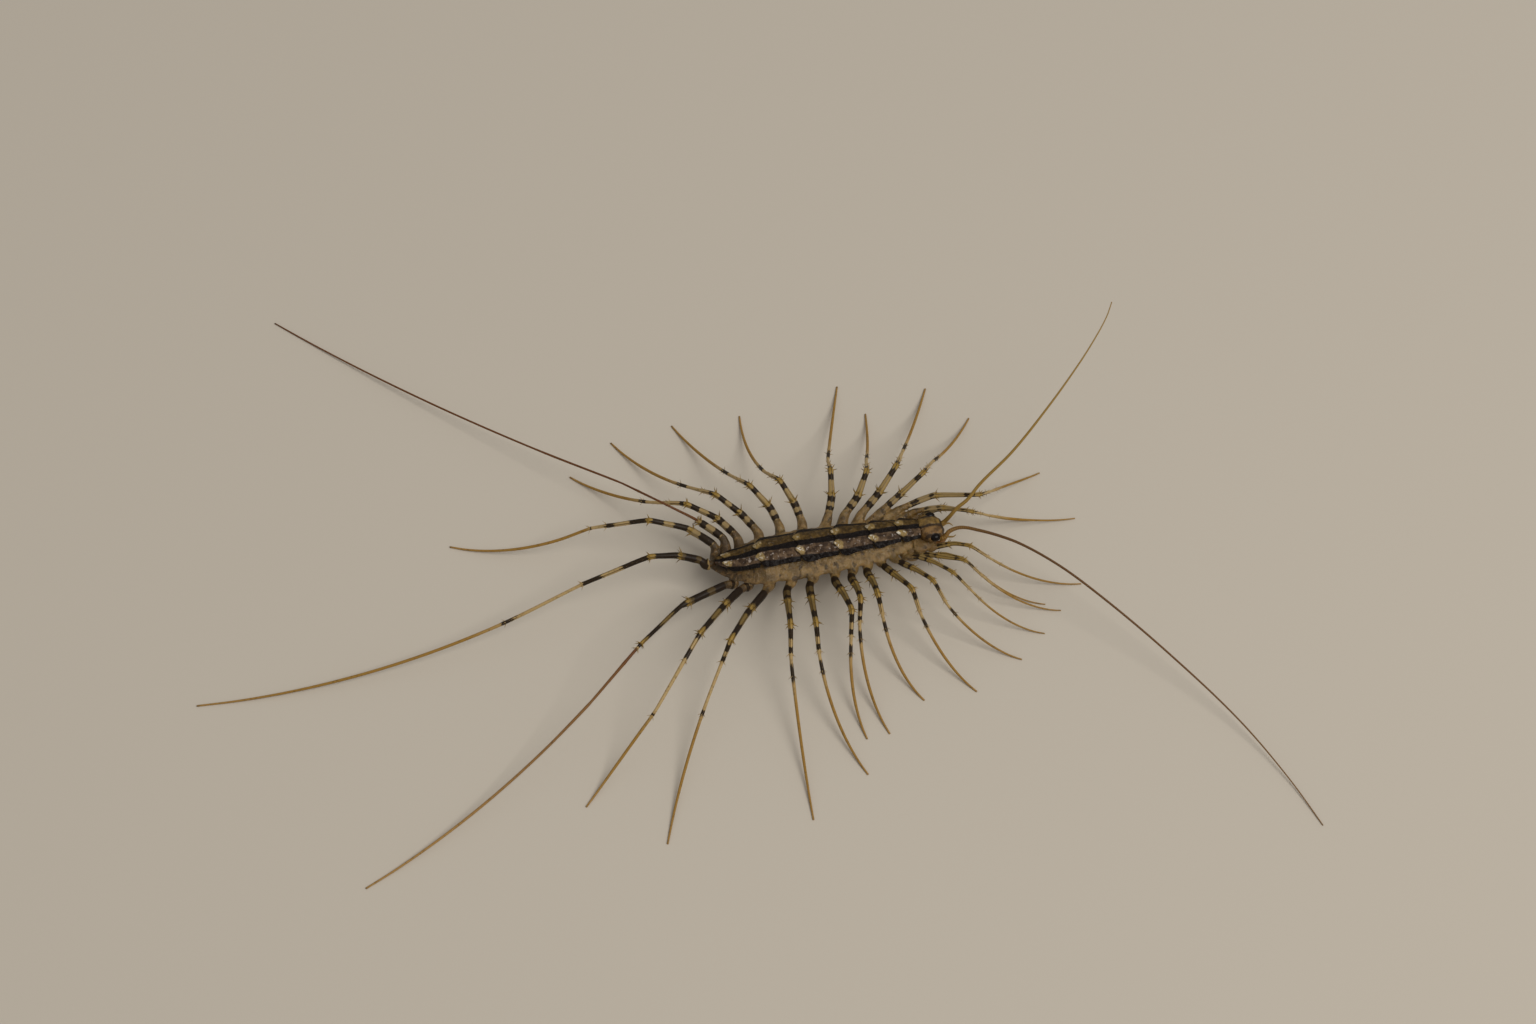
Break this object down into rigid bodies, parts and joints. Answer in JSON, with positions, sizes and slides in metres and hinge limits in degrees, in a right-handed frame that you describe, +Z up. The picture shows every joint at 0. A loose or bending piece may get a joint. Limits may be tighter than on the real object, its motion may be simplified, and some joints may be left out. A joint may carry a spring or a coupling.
{
  "type": "house centipede",
  "caption": "Long-legged house centipede standing still, striped back, banded spiny legs and whip feelers, one feeler raised.",
  "frame": {"origin": "on the floor under the middle of the animal's outline", "axes": "+X towards the head, +Y to the animal's left, +Z up from the floor"},
  "size_m": [0.1178, 0.0944, 0.0183],
  "materials": {
    "plate_brown": "satin shell plate, olive and grey-brown with dark stripes",
    "flank_brown": "soft translucent skin, pale brown and mottled",
    "head_amber": "glossy amber-brown shell with a dark middle stripe",
    "eye_black": "glossy near-black facets",
    "leg_ochre": "satin ochre shell with dark rings and spines",
    "feeler_gold": "fine-ringed golden ochre whip",
    "fang_amber": "glossy dark amber claw"
  },
  "bodies": {
    "root": {"back_plate_1": "plate_brown", "back_plate_2": "plate_brown", "back_plate_3": "plate_brown", "back_plate_4": "plate_brown", "back_plate_5": "plate_brown", "back_plate_6": "plate_brown", "tail_plate": "plate_brown", "trunk": "flank_brown", "head": "head_amber", "eye_left": "eye_black", "eye_right": "eye_black", "leg_left_01": "leg_ochre", "leg_left_02": "leg_ochre", "leg_left_03": "leg_ochre", "leg_left_04": "leg_ochre", "leg_left_05": "leg_ochre", "leg_left_06": "leg_ochre", "leg_left_07": "leg_ochre", "leg_left_08": "leg_ochre", "leg_left_09": "leg_ochre", "leg_left_10": "leg_ochre", "leg_left_11": "leg_ochre", "leg_left_12": "leg_ochre", "leg_left_13": "leg_ochre", "leg_left_14": "leg_ochre", "leg_left_15": "leg_ochre", "leg_right_01": "leg_ochre", "leg_right_02": "leg_ochre", "leg_right_03": "leg_ochre", "leg_right_04": "leg_ochre", "leg_right_05": "leg_ochre", "leg_right_06": "leg_ochre", "leg_right_07": "leg_ochre", "leg_right_08": "leg_ochre", "leg_right_09": "leg_ochre", "leg_right_10": "leg_ochre", "leg_right_11": "leg_ochre", "leg_right_12": "leg_ochre", "leg_right_13": "leg_ochre", "leg_right_14": "leg_ochre", "leg_right_15": "leg_ochre", "feeler_left": "feeler_gold", "feeler_right": "feeler_gold", "palp_left": "feeler_gold", "palp_right": "feeler_gold", "fang_left": "fang_amber", "fang_right": "fang_amber"}
  },
  "joints": []
}
